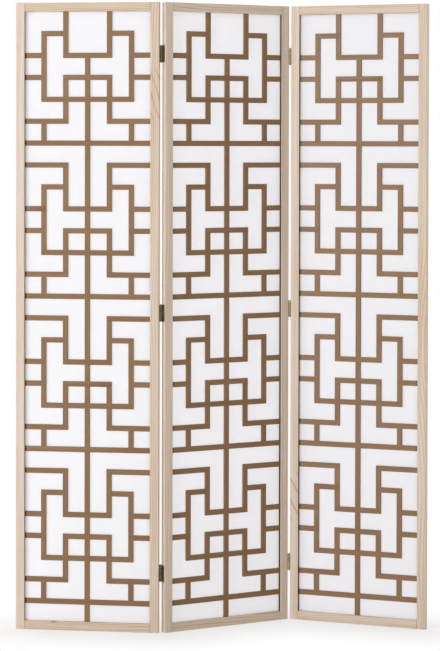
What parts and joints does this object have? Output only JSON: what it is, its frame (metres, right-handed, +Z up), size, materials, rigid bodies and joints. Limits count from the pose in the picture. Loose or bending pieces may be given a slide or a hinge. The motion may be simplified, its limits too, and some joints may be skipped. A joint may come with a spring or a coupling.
{
  "type": "folding screen",
  "caption": "Free-standing shoji folding screen: hinged pine-framed panels with a half-lapped geometric lattice over translucent paper, standing in a zigzag.",
  "frame": {"origin": "centre of the bottom of the bounding box, on the floor", "axes": "+Z up, +X to the right as seen from the lattice side, -Y towards the viewer of the lattice side"},
  "size_m": [1.172, 0.2368, 1.78],
  "materials": {
    "pine": "bare, fine sanded",
    "lattice_wood": "brown stain, satin",
    "shoji_paper": "matte, translucent fibre paper",
    "hinge_bronze": "antique bronze plate",
    "screw_metal": "dulled brass"
  },
  "bodies": {
    "middle_panel": {"left_joint_lower_hinge_middle_leaf": "hinge_bronze", "left_joint_middle_hinge_middle_leaf": "hinge_bronze", "left_joint_middle_screws": "screw_metal", "left_joint_upper_hinge_middle_leaf": "hinge_bronze", "middle_panel_bottom_rail": "pine", "middle_panel_centre_bar": "lattice_wood", "middle_panel_full_bars": "lattice_wood", "middle_panel_inner_uprights": "lattice_wood", "middle_panel_left_stile": "pine", "middle_panel_middle_bars": "lattice_wood", "middle_panel_outer_uprights": "lattice_wood", "middle_panel_paper": "shoji_paper", "middle_panel_right_stile": "pine", "middle_panel_short_bars": "lattice_wood", "middle_panel_side_bars": "lattice_wood", "middle_panel_top_rail": "pine", "right_joint_lower_hinge_middle_leaf": "hinge_bronze", "right_joint_middle_hinge_middle_leaf": "hinge_bronze", "right_joint_middle_screws": "screw_metal", "right_joint_upper_hinge_middle_leaf": "hinge_bronze"},
    "left_panel": {"left_joint_left_screws": "screw_metal", "left_joint_lower_hinge_left_leaf": "hinge_bronze", "left_joint_lower_hinge_pin": "hinge_bronze", "left_joint_middle_hinge_left_leaf": "hinge_bronze", "left_joint_middle_hinge_pin": "hinge_bronze", "left_joint_upper_hinge_left_leaf": "hinge_bronze", "left_joint_upper_hinge_pin": "hinge_bronze", "left_panel_bottom_rail": "pine", "left_panel_centre_bar": "lattice_wood", "left_panel_full_bars": "lattice_wood", "left_panel_inner_uprights": "lattice_wood", "left_panel_left_stile": "pine", "left_panel_middle_bars": "lattice_wood", "left_panel_outer_uprights": "lattice_wood", "left_panel_paper": "shoji_paper", "left_panel_right_stile": "pine", "left_panel_short_bars": "lattice_wood", "left_panel_side_bars": "lattice_wood", "left_panel_top_rail": "pine"},
    "right_panel": {"right_joint_lower_hinge_pin": "hinge_bronze", "right_joint_lower_hinge_right_leaf": "hinge_bronze", "right_joint_middle_hinge_pin": "hinge_bronze", "right_joint_middle_hinge_right_leaf": "hinge_bronze", "right_joint_right_screws": "screw_metal", "right_joint_upper_hinge_pin": "hinge_bronze", "right_joint_upper_hinge_right_leaf": "hinge_bronze", "right_panel_bottom_rail": "pine", "right_panel_centre_bar": "lattice_wood", "right_panel_full_bars": "lattice_wood", "right_panel_inner_uprights": "lattice_wood", "right_panel_left_stile": "pine", "right_panel_middle_bars": "lattice_wood", "right_panel_outer_uprights": "lattice_wood", "right_panel_paper": "shoji_paper", "right_panel_right_stile": "pine", "right_panel_short_bars": "lattice_wood", "right_panel_side_bars": "lattice_wood", "right_panel_top_rail": "pine"}
  },
  "joints": [
    {"name": "left_fold", "type": "hinge", "parent": "middle_panel", "child": "left_panel", "pos_m": [-0.17278, -0.09853, 0.904], "axis": [0, 0, -1], "range_deg": [-39.5, 140.5]},
    {"name": "right_fold", "type": "hinge", "parent": "middle_panel", "child": "right_panel", "pos_m": [0.19427, 0.10059, 0.904], "axis": [0, 0, -1], "range_deg": [-53.5, 126.5]}
  ]
}
